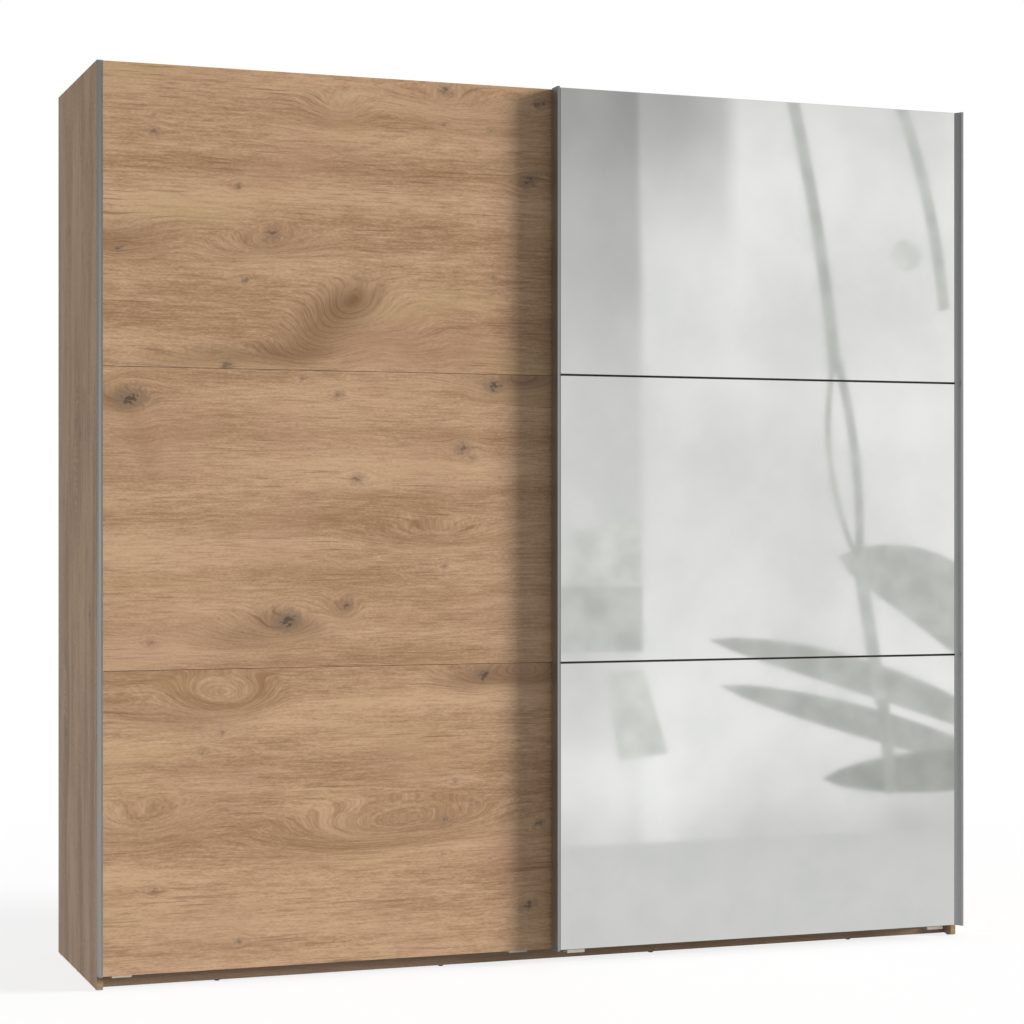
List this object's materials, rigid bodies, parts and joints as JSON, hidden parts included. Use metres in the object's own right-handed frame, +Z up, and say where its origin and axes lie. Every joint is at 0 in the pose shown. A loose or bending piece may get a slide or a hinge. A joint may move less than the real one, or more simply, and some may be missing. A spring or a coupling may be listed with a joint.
{
  "type": "sliding door wardrobe",
  "caption": "Tall wardrobe with wood-look and mirrored sliding doors hung on a double top rail, aluminium grip edges, hat shelves and clothes rails inside.",
  "frame": {"origin": "on the floor at the centre of the wardrobe's outer box", "axes": "+X to the right, +Y to the wall behind, +Z up; the doors face -Y"},
  "size_m": [2.48, 0.65, 2.36],
  "materials": {
    "oak_decor": "matt oak decor foil, grain upright",
    "oak_door_decor": "matt knotty oak decor, grain across the door",
    "interior_decor": "matt light textile-look decor",
    "hardboard": "printed hardboard",
    "mirror": "silvered float glass",
    "aluminium": "natural anodised, satin",
    "guide_plastic": "grey extrusion",
    "clear_plastic": "light moulded plastic",
    "grey_plastic": "fine moulded texture",
    "dark_plastic": "matt",
    "nylon": "smooth nylon",
    "steel": "bright zinc plating",
    "zinc_casting": "raw zinc casting",
    "chrome_tube": "chrome plated",
    "beech": "fluted beech",
    "rubber": "matt"
  },
  "bodies": {
    "cabinet": {"side_panel_left": "oak_decor", "side_panel_right": "oak_decor", "plinth_front": "oak_decor", "plinth_rear": "oak_decor", "plinth_middle": "oak_decor", "top_panel": "interior_decor", "base_panel": "interior_decor", "middle_partition": "interior_decor", "hat_shelf_left": "interior_decor", "hat_shelf_right": "interior_decor", "back_panel_left": "hardboard", "back_panel_right": "hardboard", "top_running_rail": "aluminium", "bottom_guide_rail": "guide_plastic", "cabinet_screws": "steel", "back_nails": "steel", "cam_bolts": "steel", "shelf_pins": "steel", "cam_locks": "zinc_casting", "clothes_rail_left": "chrome_tube", "clothes_rail_right": "chrome_tube", "clothes_rail_brackets": "grey_plastic", "floor_glides": "dark_plastic", "dowels": "beech", "rail_end_stops": "rubber"},
    "oak_door": {"oak_door_board_bottom": "oak_door_decor", "oak_door_board_middle": "oak_door_decor", "oak_door_board_top": "oak_door_decor", "oak_door_joining_strips": "grey_plastic", "oak_door_grip": "aluminium", "oak_door_edge_profile": "aluminium", "oak_door_end_caps": "grey_plastic", "oak_door_carriage_left": "steel", "oak_door_carriage_right": "steel", "oak_door_axles": "steel", "oak_door_guides": "clear_plastic", "oak_door_screws": "steel"},
    "mirror_door": {"mirror_door_board_bottom": "oak_door_decor", "mirror_door_board_middle": "oak_door_decor", "mirror_door_board_top": "oak_door_decor", "mirror_door_joining_strips": "grey_plastic", "mirror_bottom": "mirror", "mirror_middle": "mirror", "mirror_top": "mirror", "mirror_door_grip_left": "aluminium", "mirror_door_grip_right": "aluminium", "mirror_door_end_caps": "grey_plastic", "mirror_door_carriage_left": "steel", "mirror_door_carriage_right": "steel", "mirror_door_axles": "steel", "mirror_door_guides": "clear_plastic", "mirror_door_screws": "steel"},
    "oak_door_wheel_1": {"oak_door_wheel_1": "nylon"},
    "oak_door_wheel_2": {"oak_door_wheel_2": "nylon"},
    "oak_door_wheel_3": {"oak_door_wheel_3": "nylon"},
    "oak_door_wheel_4": {"oak_door_wheel_4": "nylon"},
    "mirror_door_wheel_1": {"mirror_door_wheel_1": "nylon"},
    "mirror_door_wheel_2": {"mirror_door_wheel_2": "nylon"},
    "mirror_door_wheel_3": {"mirror_door_wheel_3": "nylon"},
    "mirror_door_wheel_4": {"mirror_door_wheel_4": "nylon"}
  },
  "joints": [
    {"name": "oak_door_slide", "type": "slide", "parent": "cabinet", "child": "oak_door", "axis": [1, 0, 0], "range_m": [0, 1.19]},
    {"name": "mirror_door_slide", "type": "slide", "parent": "cabinet", "child": "mirror_door", "axis": [1, 0, 0], "range_m": [-1.19, 0]},
    {"name": "oak_door_wheel_1_spin", "type": "hinge", "parent": "oak_door", "child": "oak_door_wheel_1", "pos_m": [-1.191, -0.24, 2.3312], "axis": [0, 1, 0], "continuous": true},
    {"name": "oak_door_wheel_2_spin", "type": "hinge", "parent": "oak_door", "child": "oak_door_wheel_2", "pos_m": [-1.135, -0.24, 2.3312], "axis": [0, 1, 0], "continuous": true},
    {"name": "oak_door_wheel_3_spin", "type": "hinge", "parent": "oak_door", "child": "oak_door_wheel_3", "pos_m": [-0.105, -0.24, 2.3312], "axis": [0, 1, 0], "continuous": true},
    {"name": "oak_door_wheel_4_spin", "type": "hinge", "parent": "oak_door", "child": "oak_door_wheel_4", "pos_m": [-0.049, -0.24, 2.3312], "axis": [0, 1, 0], "continuous": true},
    {"name": "mirror_door_wheel_1_spin", "type": "hinge", "parent": "mirror_door", "child": "mirror_door_wheel_1", "pos_m": [0.017, -0.212, 2.3312], "axis": [0, 1, 0], "continuous": true},
    {"name": "mirror_door_wheel_2_spin", "type": "hinge", "parent": "mirror_door", "child": "mirror_door_wheel_2", "pos_m": [0.073, -0.212, 2.3312], "axis": [0, 1, 0], "continuous": true},
    {"name": "mirror_door_wheel_3_spin", "type": "hinge", "parent": "mirror_door", "child": "mirror_door_wheel_3", "pos_m": [1.136, -0.212, 2.3312], "axis": [0, 1, 0], "continuous": true},
    {"name": "mirror_door_wheel_4_spin", "type": "hinge", "parent": "mirror_door", "child": "mirror_door_wheel_4", "pos_m": [1.192, -0.212, 2.3312], "axis": [0, 1, 0], "continuous": true}
  ],
  "couplings": [
    {"joint": "oak_door_wheel_1_spin", "follows": "oak_door_slide", "rad_per_m": 83.333},
    {"joint": "oak_door_wheel_2_spin", "follows": "oak_door_slide", "rad_per_m": 83.333},
    {"joint": "oak_door_wheel_3_spin", "follows": "oak_door_slide", "rad_per_m": 83.333},
    {"joint": "oak_door_wheel_4_spin", "follows": "oak_door_slide", "rad_per_m": 83.333},
    {"joint": "mirror_door_wheel_1_spin", "follows": "mirror_door_slide", "rad_per_m": 83.333},
    {"joint": "mirror_door_wheel_2_spin", "follows": "mirror_door_slide", "rad_per_m": 83.333},
    {"joint": "mirror_door_wheel_3_spin", "follows": "mirror_door_slide", "rad_per_m": 83.333},
    {"joint": "mirror_door_wheel_4_spin", "follows": "mirror_door_slide", "rad_per_m": 83.333}
  ]
}
